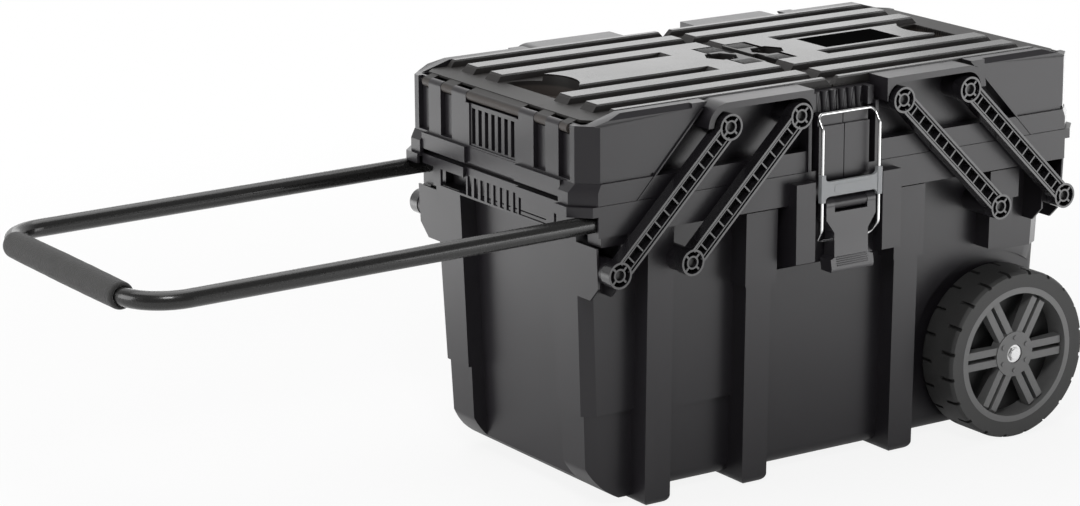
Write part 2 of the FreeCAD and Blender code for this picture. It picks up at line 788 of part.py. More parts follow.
def diagonal_lip():
    """A thin lip along the slanting end of the recess at the rear, and on over the band."""
    rise = tray_top - tray_band_top
    across = (diagonal_low_x - diagonal_high_x) / rise
    low_x = diagonal_low_x + across * tray_band_height
    reach = tray_top + 3 - tray_bottom
    high_x = low_x - across * reach
    width = diagonal_rib * math.sqrt(1 + across ** 2)
    return prism_y([(low_x, tray_bottom), (low_x + width, tray_bottom),
                    (high_x + width, tray_bottom + reach), (high_x, tray_bottom + reach)],
                   tray_y - wall + band_groove[0], tray_y + band_front_out + diagonal_rib / 2)


def corner_rim():
    """The raised rim outside the lid near one corner at the rear, bevelled outside."""
    end = lid_end_x + 2
    profile = [(corner_rim_from, tray_top - 1), (corner_rim_from, corner_rim_top),
               (corner_rim_to, corner_rim_top), (end, tray_top), (end, tray_top - 1)]
    block = prism_y(profile, corner_rim_y, tray_y)
    bevel = prism_x([(tray_y - corner_rim_bevel, corner_rim_top + 1), (tray_y + 1, corner_rim_top + 1),
                     (tray_y + 1, corner_rim_top - corner_rim_bevel),
                     (tray_y, corner_rim_top - corner_rim_bevel),
                     (tray_y - corner_rim_bevel, corner_rim_top)],
                    corner_rim_from + corner_rim_plain, end + 1)
    return block.cut(bevel)


def flutes():
    """Short upright half rounds at the meeting end of the tray, wider towards the top."""
    pitch = nose_width / flute_count
    shapes = []
    for index in range(flute_count):
        x = tray_gap + pitch * (index + 0.5)
        shapes.append(Part.makeCone(flute_low_r, flute_top_r, tray_top - nose_top,
                                    V(x, tray_y - flute_depth, nose_top), V(0, 0, 1)))
    return shapes


def nose():
    """The block at the front of the meeting end that the wire holds, and its tongue."""
    low = box(tray_gap, nose_width, -nose_y, -cavity_y, tray_bottom, nose_top - nose_lip_height)
    lip = box(tray_gap, nose_width, -nose_lip_y, -cavity_y, tray_bottom, nose_top)
    tongue = box(tray_gap, nose_width, -nose_y, -rim_y - gap, tray_bottom - tongue_below,
                 tray_bottom + 1)
    return [low, lip, tongue]


def tray_band():
    """The band round the foot. Along the end it is deeper set and its lower edge is raised."""
    side_y_out = tray_y + band_front_out
    corner = tray_corner + band_corner_out / 2
    face = tray_outline(tray_end_x + band_corner_out, side_y_out, corner)
    slope_z = tray_bottom + band_corner_top
    lower = prism_z(face, tray_bottom, slope_z)
    slope = frustum(face, slope_z, tray_outline(tray_end_x, side_y_out, corner - 3), tray_band_top)
    straight = box(tray_gap, tray_end_x - tray_corner, -side_y_out, side_y_out,
                   tray_bottom, tray_band_top)
    body = fuse([lower, slope, straight])
    body = body.cut(box(tray_end_x - wall, tray_end_x + 2 * band_corner_out, -band_corner_from,
                        band_corner_from, tray_bottom - 1, tray_band_top + 1))
    low = tray_bottom + band_lift
    grip = box(tray_inner_end, tray_end_x + band_grip_out, -band_grip_half, band_grip_half,
               low, tray_band_top)
    middle = box(tray_inner_end, tray_end_x + band_out, band_grip_half, band_corner_from,
                 low, tray_band_top)
    return fuse([body, grip] + front_and_rear([middle]))


def end_pockets():
    """What is taken off the end wall between its straps, and below them."""
    beyond = tray_end_x + 1
    floor_z = tray_band_top + 2
    bed = tray_end_x - pocket_depth
    cuts = []
    for before, after in zip(strap_bands, strap_bands[1:]):
        cuts.append(box(bed, beyond, before[1], after[0], floor_z, tray_top + 1))
    cuts = front_and_rear(cuts)
    cuts.append(box(tray_end_x - grille_inset, beyond, -grille_half, grille_half,
                    floor_z, tray_top + 1))
    cuts.append(box(bed, tray_end_x + 2 * band_corner_out, -band_corner_from, band_corner_from,
                    tray_bottom - 1, tray_bottom + band_lift))
    return cuts


def tray_knuckles():
    """The hinge knuckles at the tops of the straps. Both sides of the middle."""
    shapes = []
    for near, far in strap_bands[:2]:
        shapes.append(rod_y(hinge_x, hinge_z, knuckle_r, near, far))
    return front_and_rear(shapes)


def grille():
    """Upright slots in the middle of the end wall."""
    cuts = []
    half = (grille_pitch - grille_bar) / 2
    face = tray_end_x - grille_inset
    for index in range(grille_slots):
        y = (index - (grille_slots - 1) / 2) * grille_pitch
        cuts.append(box(face - grille_depth, face + 1, y - half, y + half,
                        tray_band_top + 4, hinge_z - 2 * knuckle_r))
    return cuts


def upper_bosses():
    return [rod_y(x, upper_z, boss_r, cavity_y + 1, boss_face_y)
            for x in (upper_inner_x, upper_outer_x)]


def slot_edge():
    """The upright rib at the outer edge of the slot beside the nose, at the rear."""
    x = nose_width + nose_slot
    return box(x, x + slot_rib, cavity_y + 1, nose_y - 1, tray_bottom, upper_z)


def tray_cavity():
    floor = tray_bottom + tray_floor
    top = corner_rim_top + 1
    main = box(tray_gap + wall, tray_inner_end, -cavity_y, cavity_y, floor, top)
    inner = tray_y - wall
    chamfer = tray_end_x + tray_y - tray_corner - wall * math.sqrt(2)
    wide = prism_z([(diagonal_low_x + wall, 0), (tray_inner_end, 0),
                    (tray_inner_end, chamfer - tray_inner_end),
                    (chamfer - inner, inner), (diagonal_low_x + wall, inner)],
                   tray_band_top, tray_top - wall)
    wide = wide.common(box(diagonal_low_x, tray_end_x, corner_rim_y - 2 * wall, tray_y, 0, top))
    return [main] + front_and_rear([wide])


def band_hollow():
    """The band is open below, between its outer face and the wall of the tray."""
    low, high = tray_bottom - 1, tray_band_top - wall
    low_high = tray_bottom + band_corner_top - wall / 2
    x0 = nose_width + nose_slot + slot_rib + wall
    x1 = tray_end_x + band_corner_out - wall
    outer_wall = tray_inner_end + wall
    y0, y1 = cavity_y + wall, tray_y + band_front_out - wall
    chamfer = x1 + y1 - tray_corner - band_corner_out / 2
    side = box(x0, tray_end_x - tray_corner - wall, y0, y1, low, high)
    turn = prism_z([(x0, y0), (outer_wall, y0), (outer_wall, band_corner_from + wall),
                    (x1, band_corner_from + wall), (x1, chamfer - x1), (chamfer - y1, y1), (x0, y1)],
                   low, low_high)
    end = box(outer_wall, tray_end_x + band_out - wall, band_grip_half + wall,
              band_corner_from + wall + 1, low, high)
    grip = box(outer_wall, tray_end_x + band_grip_out - wall, -band_grip_half - wall - 1,
               band_grip_half + wall + 1, low, high)
    return front_and_rear([side, turn, end]) + [grip]


def end_notch():
    """The top of the end wall is lowered for the lid's knuckles, not at the straps."""
    low = hinge_z - knuckle_r - 1
    reach = outer_knuckle_end + 2 * gap
    notch = box(tray_inner_end - 1, tray_end_x + wall, -reach, reach, low, tray_top + 10)
    keep = [box(tray_inner_end, tray_end_x, near, far, 0, hinge_z)
            for near, far in strap_bands[:2]]
    return notch.cut(front_and_rear(keep))


def tray():
    """The right tray: an open box with a band round its foot."""
    upper = prism_z(tray_outline(tray_end_x, tray_y, tray_corner), tray_bottom, tray_top)
    body = fuse([tray_band(), upper] + front_and_rear([corner_rim()]))
    body = cut(body, front_and_rear(tray_side_cuts()) + end_pockets() + grille())
    side = upper_bosses() + [hood(), slot_edge(), diagonal_lip()] + flutes()
    body = fuse([body] + nose() + front_and_rear(side))
    slot = box(nose_width, nose_width + nose_slot, recess_y, tray_y + 3,
               tray_bottom - 1, nose_top + 4)
    body = cut(body, tray_cavity() + band_hollow() + front_and_rear([slot]) + [end_notch()])
    body = fuse([body] + tray_knuckles())
    return cut(body, [rod_y(hinge_x, hinge_z, hinge_pin_r, -hinge_pin_half, hinge_pin_half)])


def dividers():
    floor = tray_bottom + tray_floor
    plates = [box(x - divider_wall / 2, x + divider_wall / 2, -cavity_y + gap, cavity_y - gap,
                  floor, hinge_z - 4) for x in divider_places]
    return Part.Compound(plates)


def hinge_pin():
    return rod_y(hinge_x, hinge_z, hinge_pin_r, -hinge_pin_half, hinge_pin_half)


def upper_pins():
    pins = [rod_y(x, upper_z, pin_r, boss_face_y, arm_face_y - pin_recess)
            for x in (upper_inner_x, upper_outer_x)]
    return Part.Compound(front_and_rear(pins))


# ---------------------------------------------------------------- lids

def lid_outline():
    return [(lid_gap, -lid_y), (lid_end_x - lid_corner, -lid_y), (lid_end_x, -lid_y + lid_corner),
            (lid_end_x, lid_y - lid_corner), (lid_end_x - lid_corner, lid_y), (lid_gap, lid_y)]


def ridge(x0, x1, y0, y1):
    """A raised flat with sloping ends and sides."""
    low = rectangle(x0 - end_slope, x1 + end_slope, y0 - side_slope, y1 + side_slope)
    return frustum(low, lid_floor_top - 0.5, rectangle(x0, x1, y0, y1), lid_top)


def lid_hexagon(radius, z0, z1):
    corners = [(pocket_x + radius * math.cos(math.radians(60 * k)),
                radius * math.sin(math.radians(60 * k))) for k in range(6)]
    return prism_z(corners, z0, z1)


def catch_plan(travel, clearance):
    return rectangle(catch_from - clearance, catch_to + travel + clearance,
                     -catch_half - clearance, catch_half + clearance)


def lid(with_plate):
    """A lid as at the right: a thin plate with long ridges and a deep finger scoop."""
    plate = prism_z(lid_outline(), lid_bottom, lid_floor_top)
    ridges = []
    for y0, y1 in ridge_bands:
        ridges.append(ridge(ridge_start, ridge_end, y0, y1))
    shapes = [plate] + front_and_rear(ridges)
    shapes.append(ridge(ridge_start, scoop_x - scoop_bridge, -plateau_half, plateau_half))
    shapes.append(ridge(ridge_start, plateau_wide_to, -ridge_bands[0][1], ridge_bands[0][1]))
    depth = lid_floor_top - scoop_depth
    bowl = rod_z(scoop_x, 0, scoop_r + wall, depth - wall, lid_floor_top)
    bowl = bowl.common(box(0, scoop_x + 7, -rim_y, rim_y, 0, lid_top))
    shapes.append(bowl)
    flange_y = cavity_y - 1
    flange = box(ridge_start, ridge_end, flange_y - wall, flange_y, lid_bottom - lid_flange, lid_bottom)
    shapes += front_and_rear([flange])
    arms = []
    for y0, y1 in lid_knuckles():
        arms.append(rod_y(hinge_x, hinge_z, knuckle_r - gap, y0, y1))
        arms.append(prism_y([(lid_end_x - 2, lid_bottom), (lid_end_x - 2, lid_floor_top),
                             (hinge_x, hinge_z + knuckle_r - gap), (hinge_x, hinge_z)], y0, y1))
    body = fuse(shapes + arms)
    hollow = rod_z(scoop_x, 0, scoop_r, depth, lid_top + 1)
    hollow = hollow.common(box(0, scoop_x + 4, -rim_y, rim_y, 0, lid_top + 2))
    under = []
    for y0, y1 in ridge_bands[:2]:
        under.append(box(ridge_start + 2, ridge_end - 2, y0 + 2, y1 - 2, lid_bottom - 1, lid_top - lid_floor))
    tools = [hollow] + front_and_rear(under)
    tools.append(lid_hexagon(pocket_r, lid_floor_top - 1, lid_top + 1))
    bed = prism_z(catch_plan(catch_travel, gap), lid_top - catch_thickness - 1, lid_top + 1)
    tools.append(bed)
    tools.append(box(lid_gap - 1, catch_from + 6, -catch_half, -8, lid_floor_top, lid_top + 1))
    tools.append(box(catch_from - gap, catch_from + 3 + catch_travel, -8, 8, lid_bottom - 1, lid_top))
    tools.append(rod_y(hinge_x, hinge_z, hinge_pin_r + running_fit, -lid_y, lid_y))
    if with_plate:
        tools.append(prism_z(label_outline(plate_gap), lid_top - plate_thickness, lid_top + 1))
    return cut(body, tools)


def lid_knuckles():
    """From and to of each of the lid's knuckles, which fill the room between the tray's."""
    first, second = strap_bands[0], strap_bands[1]
    sides = ((first[1] + gap, second[0] - gap), (second[1] + gap, outer_knuckle_end))
    middle = first[0] - gap
    return ((-middle, middle),) + sides + tuple((-far, -near) for near, far in sides)


def lid_catch():
    """A sliding catch with two finger pads either side of the pocket."""
    top = lid_top - 0.6
    plan = prism_z(catch_plan(0, 0), top - catch_thickness, top)
    leg = box(catch_from, catch_from + 2.4, -7.5, 7.5, lid_bottom - lid_flange, top - catch_thickness)
    body = fuse([plan, leg])
    return cut(body, [lid_hexagon(pocket_r, lid_bottom, lid_top + 1),
                      box(0, catch_from + 6, -catch_half - 1, -8, lid_bottom, lid_top + 1)])


def label_outline(clearance):
    return rectangle(plate_from - clearance, plate_to + clearance,
                     -plate_half - clearance, plate_half + clearance)


def label_plate():
    return prism_z(label_outline(0), lid_top - plate_thickness, lid_top)


# ---------------------------------------------------------------- front latch

def latch_lever():
    """A channel-shaped lever, wide at its hinge, waisted in the middle, with a foot."""
    pivot_y, pivot_z = -lever_pivot_y, lever_pivot_z
    face_top = pivot_y - lever_knuckle_r + 0.4
    waist_z = wire_pivot_z + lever_waist_above
    foot_z = lever_bottom + lever_foot_height
    profile = [(face_top, pivot_z), (face_top - 1.5, foot_z + 2), (face_top - 4.5, lever_bottom + 4),
               (face_top - 3.5, lever_bottom), (pivot_y + 6, lever_bottom), (pivot_y + 9, foot_z),
               (pivot_y + lever_knuckle_r, pivot_z)]
    body = prism_x(profile, -lever_half, lever_half)
    body = body.fuse(rod_x(pivot_y, pivot_z, lever_knuckle_r, -lever_half, lever_half))
    top = pivot_z + 2 * lever_knuckle_r
    shoulder_at = waist_z + lever_shoulder
    right = [(lever_half, top), (lever_half, shoulder_at), (lever_waist, waist_z), (lever_waist, foot_z),
             (lever_foot, foot_z - 2), (lever_foot, lever_bottom - 1)]
    front = right + [(-x, z) for x, z in reversed(right)]
    body = body.common(prism_y(front, 2 * pivot_y, -panel_y))
    deep = -latch_pad_y + 5
    hollow = prism_x([(face_top - 1.2 + lever_wall, waist_z + 10), (face_top - 1.5 + lever_wall, foot_z),
                      (face_top - 3 + lever_wall, lever_bottom + lever_wall),
                      (deep, lever_bottom + lever_wall), (deep, waist_z + 10)],
                     -lever_waist + lever_wall, lever_waist - lever_wall)
    window = box(-lug_half - gap, lug_half + gap, 2 * pivot_y, -panel_y,
                 pivot_z - lever_knuckle_r - gap, top)
    bore = rod_x(pivot_y, pivot_z, lever_pin_r + running_fit, -lever_half - 1, lever_half + 1)
    wire_bore = rod_x(-wire_pivot_y, wire_pivot_z, wire_r + running_fit, -lever_half - 1, lever_half + 1)
    return cut(body, [hollow, window, bore, wire_bore])


def lever_pin():
    return rod_x(-lever_pivot_y, lever_pivot_z, lever_pin_r, -lever_half, lever_half)


def wire_bail():
    """A chromed wire loop over both noses, hooked into the lever at its lower ends."""
    low_in = lever_waist - lever_wall / 2
    top_y = -nose_y - gap - wire_r - 0.1
    right = [V(low_in, -wire_pivot_y, wire_pivot_z), V(wire_low_x, -wire_pivot_y, wire_pivot_z),
             V(wire_leg_x, -wire_leg_y, wire_pivot_z + wire_kick),
             V(wire_leg_x, -wire_leg_y, wire_top_z - wire_kick), V(wire_leg_x, top_y, wire_top_z)]
    left = [V(-point.x, point.y, point.z) for point in right]
    return bent_rod(left + right[::-1], wire_r, wire_bend)


def bent_rod(points, radius, bend):
    """A round rod along straight runs, each corner turned on an arc."""
    edges = []
    start = points[0]
    for before, corner, after in zip(points, points[1:], points[2:]):
        into = (before - corner).normalize()
        out = (after - corner).normalize()
        half = math.pi / 2 - into.getAngle(out) / 2
        setback = bend * math.tan(half)
        first = corner + into * setback
        last = corner + out * setback
        towards = (into + out).normalize()
        middle = corner + towards * (bend / math.cos(half) - bend)
        edges.append(Part.LineSegment(start, first).toShape())
        edges.append(Part.Arc(first, middle, last).toShape())
        start = last
    edges.append(Part.LineSegment(start, points[-1]).toShape())
    path = Part.Wire(edges)
    direction = (points[1] - points[0]).normalize()
    section = Part.Wire(Part.makeCircle(radius, points[0], direction))
    return path.makePipeShell([section], True, True)


def wire_clip():
    """The moulded H that snaps over both legs of the wire, its inner corners hollowed."""
    front, back = -wire_leg_y - clip_sleeve, -wire_leg_y + clip_sleeve
    edge = wire_leg_x - clip_sleeve
    side = box(edge, wire_leg_x + clip_sleeve, front, back, clip_low, clip_high)
    shapes = [side, left_of(side)]
    face = front + clip_setback
    shapes.append(box(-edge, edge, face, back - clip_setback, clip_bar_low, clip_bar_high))
    middle = (clip_bar_low + clip_bar_high) / 2
    panel_high = (clip_bar_high - clip_bar_low) / 4
    shapes.append(box(-lever_waist, lever_waist, face - clip_setback / 2, face + clip_setback,
                      middle - panel_high, middle + panel_high))
    for z, out in ((clip_bar_high, 1), (clip_bar_low, -1)):
        low, high = sorted((z, z + out * clip_flare))
        flare = box(edge - clip_flare, edge, face, back - clip_setback, low, high)
        flare = flare.cut(rod_y(edge - clip_flare, z + out * clip_flare, clip_flare, face - 1, back))
        shapes += [flare, left_of(flare)]
    legs = [rod_z(sign * wire_leg_x, -wire_leg_y, wire_r, clip_low - 1, clip_high + 1)
            for sign in (-1, 1)]
    return cut(fuse(shapes), legs)


# ---------------------------------------------------------------- pull-out handle

def drooped(shape):
    """Turns a piece that was drawn level about the tubes' entry."""
    return turned(shape, -tube_droop, V(tube_entry_x, 0, tube_entry_z))


def handle_path():
    inner = tube_entry_x + tube_inner_end
    outer = tube_entry_x - tube_reach
    return [V(inner, -tube_y, tube_entry_z), V(outer, -tube_y, tube_entry_z),
            V(outer, tube_y, tube_entry_z), V(inner, tube_y, tube_entry_z)]


def handle_tube():
    outside = bent_rod(handle_path(), tube_r, tube_bend)
    inside = bent_rod(handle_path(), tube_r - tube_wall, tube_bend)
    return drooped(outside.cut(inside))


def tube_plugs():
    inner = tube_entry_x + tube_inner_end
    plug = fuse([rod_x(tube_y, tube_entry_z, tube_r - tube_wall, inner - plug_length, inner),
                 rod_x(tube_y, tube_entry_z, tube_r, inner, inner + plug_head)])
    return drooped(Part.Compound(front_and_rear([plug])))


def handle_grip():
    x = tube_entry_x - tube_reach
    sleeve = rod_y(x, tube_entry_z, grip_r, -grip_half, grip_half)
    ends = [edge for edge in sleeve.Edges if edge.Closed]
    sleeve = sleeve.makeFillet(grip_round, ends)
    return drooped(sleeve.cut(rod_y(x, tube_entry_z, tube_r, -grip_half - 1, grip_half + 1)))


def handle_guide():
    """The block under the left rear corner of the rim that the tube runs through."""
    x0, x1 = tube_entry_x, tube_entry_x + guide_length
    outer_y, top = rim_y - skirt_wall, rim_top - rim_plate
    block = box(x0, x1, collar_y, outer_y, shoulder_z, top)
    flange = box(x0, -collar_x, guide_flange_y, collar_y, shoulder_z, top)
    lower = box(x0, x1, collar_y, outer_y, guide_bottom, shoulder_z)
    body = fuse([block, flange, lower])
    bore = drooped(rod_x(tube_y, tube_entry_z, tube_r + gap, x0 - 20, x1 + 20))
    return cut(body, [bore])


# ---------------------------------------------------------------- export

def export(shape, name):
    shape.exportStep("parts/" + name + ".step")


def main():
    os.makedirs("parts", exist_ok=True)
    export(bin_shell(), "bin_shell")
    export(lower_pins(), "lower_pivot_pins")
    export(axle(), "axle")
    export(axle_keepers(), "axle_keepers")
    export(axle_washers(), "axle_washers")
    export(axle_nuts(), "axle_nuts")

    rear_tyre, rear_rim = tyre(), wheel_rim()
    export(rear_tyre, "rear_tyre")
    export(rear_rim, "rear_wheel_rim")
    export(rear_of(rear_tyre), "front_tyre")
    export(rear_of(rear_rim), "front_wheel_rim")
    rear_core = wheel_core()
    export(rear_core, "rear_wheel_core")
    export(rear_of(rear_core), "front_wheel_core")

    straight = arm()
    for name, pivot_x in (("outer", arm_pivot_x), ("inner", inner_pivot_x)):
        right_rear = placed_arm(straight, pivot_x)
        export(right_rear, "right_rear_" + name + "_arm")
        export(rear_of(right_rear), "right_front_" + name + "_arm")
        left_rear = left_of(right_rear)
        export(left_rear, "left_rear_" + name + "_arm")
        export(rear_of(left_rear), "left_front_" + name + "_arm")

    half_turn = V(0, 0, 1)
    right_catch = lid_catch()
    for side, mirror in (("right", lambda shape: shape), ("left", left_of)):
        export(mirror(tray()), side + "_tray")
        export(mirror(dividers()), side + "_tray_dividers")
        export(mirror(upper_pins()), side + "_tray_pivot_pins")
        export(mirror(hinge_pin()), side + "_lid_hinge_pin")
    export(lid(True), "right_lid")
    export(right_catch, "right_lid_catch")
    export(turned(lid(False), 180, V(0, 0, 0), half_turn), "left_lid")
    export(turned(right_catch, 180, V(0, 0, 0), half_turn), "left_lid_catch")
    export(label_plate(), "label_plate")

    export(latch_lever(), "latch_lever")
    export(lever_pin(), "latch_lever_pin")
    export(wire_bail(), "latch_wire")
    export(wire_clip(), "latch_wire_clip")

    export(handle_tube(), "handle_tube")
    export(handle_grip(), "handle_grip")
    export(tube_plugs(), "handle_tube_plugs")
    guide = handle_guide()
    export(guide, "rear_handle_guide")
    export(rear_of(guide), "front_handle_guide")


main()
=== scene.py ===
import json
import math

import bmesh
import bpy
from mathutils import Matrix, Vector, noise
from mathutils.bvhtree import BVHTree


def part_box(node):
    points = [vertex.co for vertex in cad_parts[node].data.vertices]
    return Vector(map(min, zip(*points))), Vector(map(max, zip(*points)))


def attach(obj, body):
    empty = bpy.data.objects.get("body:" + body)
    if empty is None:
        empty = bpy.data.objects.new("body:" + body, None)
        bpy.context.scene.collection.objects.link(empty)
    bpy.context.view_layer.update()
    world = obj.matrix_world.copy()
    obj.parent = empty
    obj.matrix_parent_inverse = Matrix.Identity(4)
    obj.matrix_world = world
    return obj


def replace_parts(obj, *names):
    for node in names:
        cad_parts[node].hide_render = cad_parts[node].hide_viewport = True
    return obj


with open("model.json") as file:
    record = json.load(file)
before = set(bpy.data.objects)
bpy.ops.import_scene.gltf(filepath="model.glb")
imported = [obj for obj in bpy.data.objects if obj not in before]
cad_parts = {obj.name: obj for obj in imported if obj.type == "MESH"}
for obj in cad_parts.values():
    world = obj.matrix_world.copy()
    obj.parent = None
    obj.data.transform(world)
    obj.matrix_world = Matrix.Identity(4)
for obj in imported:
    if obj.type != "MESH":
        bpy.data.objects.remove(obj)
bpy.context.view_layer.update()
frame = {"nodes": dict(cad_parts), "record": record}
nodes = frame["nodes"]
record = frame["record"]

# ------------------------------------------------------------------ camera

YAW, PITCH, ROLL = math.radians(33.448), math.radians(14.754), math.radians(-0.321)
CAMERA_PLACE = (-2.16976, -2.91324, 1.15853)
LENS, SENSOR = 118.291, 36.0            # mm
SHIFT = (-0.00812, -0.00498)
VIEW_END = 60.0


def make_camera():
    forward = Vector((math.sin(YAW) * math.cos(PITCH), math.cos(YAW) * math.cos(PITCH), -math.sin(PITCH)))
    level_right = forward.cross(Vector((0, 0, 1))).normalized()
    level_up = level_right.cross(forward)
    right = level_right * math.cos(ROLL) + level_up * math.sin(ROLL)
    up = level_up * math.cos(ROLL) - level_right * math.sin(ROLL)
    data = bpy.data.cameras.new("camera")
    data.lens = LENS
    data.sensor_width = SENSOR
    data.shift_x, data.shift_y = SHIFT
    data.clip_end = VIEW_END
    camera = bpy.data.objects.new("camera", data)
    bpy.context.scene.collection.objects.link(camera)
    turn = Matrix((right, up, -forward)).transposed().to_4x4()
    camera.matrix_world = Matrix.Translation(CAMERA_PLACE) @ turn
    bpy.context.scene.camera = camera


make_camera()


# ------------------------------------------------------------------ shader maths

class Value:
    """A socket; arithmetic on it adds Math nodes."""

    def __init__(self, graph, socket):
        self.graph, self.socket = graph, socket

    def math(self, operation, *values):
        return self.graph.node("ShaderNodeMath", {"operation": operation}, *values)

    def __add__(self, other):
        return self.math("ADD", self, other)

    def __mul__(self, other):
        return self.math("MULTIPLY", self, other)

    def __sub__(self, other):
        return self.math("SUBTRACT", self, other)

    def __rsub__(self, other):
        return self.math("SUBTRACT", other, self)

    __radd__, __rmul__ = __add__, __mul__

    def above(self, low, high):
        """0 below low, 1 above high, smooth between."""
        return self.graph.node("ShaderNodeMapRange", {"interpolation_type": "SMOOTHSTEP"},
                               self, low, high, 0.0, 1.0)

    def along(self, direction):
        """How far a point or direction lies along another one."""
        return self.graph.node("ShaderNodeVectorMath", {"operation": "DOT_PRODUCT"}, self, direction,
                               out="Value")

    def beside(self, output):
        """Another output of the same node."""
        return Value(self.graph, self.socket.node.outputs[output])


class Graph:
    """The nodes of a material or of the world."""

    def __init__(self, owner):
        owner.use_nodes = True
        self.tree = owner.node_tree

    def feed(self, node, key, value):
        """Links or sets one input; None leaves it as it is."""
        if isinstance(value, Value):
            self.tree.links.new(value.socket, node.inputs[key])
        elif value is not None:
            node.inputs[key].default_value = value

    def node(self, kind, settings, *values, out=0, **named):
        """Any node: its settings first, then the values or links of its inputs."""
        node = self.tree.nodes.new(kind)
        for key, value in settings.items():
            setattr(node, key, value)
        for index, value in enumerate(values):
            self.feed(node, index, value)
        for key, value in named.items():
            self.feed(node, key.replace("_", " "), value)
        return Value(self, node.outputs[out])


class Surface(Graph):
    """A material built round one Principled shader."""

    def __init__(self, name, **channels):
        self.material = bpy.data.materials.new(name)
        super().__init__(self.material)
        self.shader = self.tree.nodes["Principled BSDF"]
        self.shade(**channels)

    def shade(self, **channels):
        for key, value in channels.items():
            self.feed(self.shader, key.replace("_", " "), value)

    def spot(self):
        return self.node("ShaderNodeTexCoord", {}, out="Object")

    def stretched(self, scale=(1.0, 1.0, 1.0)):
        return self.node("ShaderNodeMapping", {}, self.spot(), Scale=scale)

    def noise(self, scale, detail=3.0, rough=0.5, stretch=(1.0, 1.0, 1.0)):
        return self.node("ShaderNodeTexNoise", {}, Vector=self.stretched(stretch), Scale=scale,
                         Detail=detail, Roughness=rough)

    def blend(self, amount, first, second):
        """A colour between two colours, which are the seventh and eighth inputs of a Mix node."""
        return self.node("ShaderNodeMix", {"data_type": "RGBA"}, amount, *[None] * 5, first, second, out=2)

    def relief(self, height, depth, strength):
        """Turns a height into bumps of the surface; depth is in metres."""
        self.shade(Normal=self.node("ShaderNodeBump", {}, Height=height, Distance=depth, Strength=strength))


# ------------------------------------------------------------------ finishes

LID_TOP = 0.4108                        # the lids' ridges end here
LID_GROOVES = (LID_TOP - 0.0120, LID_TOP - 0.0090)
LID_RIDGE_EDGE = 0.0012
GROOVE_TONE = 5.0                       # the grooves are this much paler than the ridges
MOULD_GRAIN = 0.00005


def grey(level, warm=0.0, plum=0.0):
    """A grey that may lean to brown, or to violet with less green."""
    return (level * (1.0 + warm), level * (1.0 - plum), level * (1.0 - warm), 1.0)


def moulded(name, level, gloss, warm=0.0, plum=0.0, patch=0.12, coat=0.0, ridged=False):
    """Moulded plastic: spark-eroded grain, cloudy gloss, flow marks and a few rubbed places.

    A ridged one is smooth on top of its ridges, matt below, and paler in the grooves.
    """
    surface = Surface(name, Coat_Weight=coat, Coat_Roughness=gloss * 0.8)
    grain = surface.noise(1400.0, 2.0, 0.6)
    clouds = surface.noise(9.0, 4.0, 0.55)
    flow = surface.noise(3.0, 3.0, 0.5, (1.0, 1.0, 4.0))
    rubs = surface.noise(38.0, 6.0, 0.65, (1.0, 1.0, 0.25)).above(0.6, 0.78)
    tone = surface.blend(clouds, grey(level * (1 - patch), warm, plum),
                         grey(level * (1 + patch), warm, plum))
    rough = clouds * 0.1 + flow * 0.1 + (gloss - 0.1) + rubs * 0.05
    if ridged:
        height = surface.node("ShaderNodeSeparateXYZ", {}, surface.spot(), out="Z")
        tone = surface.blend(1.0 - height.above(*LID_GROOVES), tone, grey(level * GROOVE_TONE, warm, plum))
        rough = rough + 0.3 - height.above(LID_TOP - LID_RIDGE_EDGE, LID_TOP) * 0.32
    surface.shade(Base_Color=surface.blend(rubs * 0.25, tone, grey(level * 1.7, warm, plum)),
                  Roughness=rough)
    surface.relief(grain, MOULD_GRAIN, 0.6)
    return surface.material


def plated(name, low, high, gloss, stretch=(1.0, 1.0, 1.0)):
    """Zinc or chrome: fine streaks that change the tint and the gloss a little."""
    surface = Surface(name, Metallic=1.0)
    streaks = surface.noise(520.0, 3.0, 0.6, stretch)
    surface.shade(Base_Color=surface.blend(streaks, grey(low), grey(high)), Roughness=streaks * 0.14 + gloss)
    return surface.material


def powder_coat():
    """Glossy black coat with some orange peel, scuffed in streaks along the tube."""
    surface = Surface("black powder coat", Coat_Weight=0.3)
    peel = surface.noise(320.0, 2.0, 0.5)
    scuffs = surface.noise(60.0, 6.0, 0.7, (0.15, 1.0, 1.0)).above(0.62, 0.75)
    surface.shade(Base_Color=surface.blend(scuffs * 0.3, grey(0.010, 0.03), grey(0.035, 0.03)),
                  Roughness=peel * 0.08 + 0.24 + scuffs * 0.12)
    surface.relief(peel, 0.00008, 0.5)
    return surface.material


def tyre_moulding():
    """Dull tread plastic with dust in patches."""
    surface = Surface("tyre moulding")
    dust = surface.noise(26.0, 5.0, 0.6)
    surface.shade(Base_Color=surface.blend(dust, grey(0.034), grey(0.052, 0.01)),
                  Roughness=dust * 0.12 + 0.52)
    surface.relief(surface.noise(900.0, 3.0, 0.6), 0.0001, 0.6)
    return surface.material


def foam_sleeve():
    """Closed-cell foam: a skin of small dimples over slow unevenness."""
    surface = Surface("foam sleeve", Sheen_Weight=0.25, Sheen_Roughness=0.5)
    pores = surface.node("ShaderNodeTexVoronoi", {}, Vector=surface.spot(), Scale=620.0, out="Distance")
    soil = surface.noise(30.0, 5.0, 0.6)
    surface.shade(Base_Color=surface.blend(soil, grey(0.022, 0.02), grey(0.042, 0.02)),
                  Roughness=soil * 0.08 + 0.86)
    surface.relief(pores, 0.0005, 0.9)
    return surface.material


def bare_plate():
    """Deep black plate that shows only a trace of smears."""
    surface = Surface("glossy plate", Specular_IOR_Level=0.0)
    smears = surface.noise(45.0, 5.0, 0.6)
    surface.shade(Base_Color=surface.blend(smears, grey(0.0025), grey(0.004)), Roughness=smears * 0.1 + 0.16)
    return surface.material


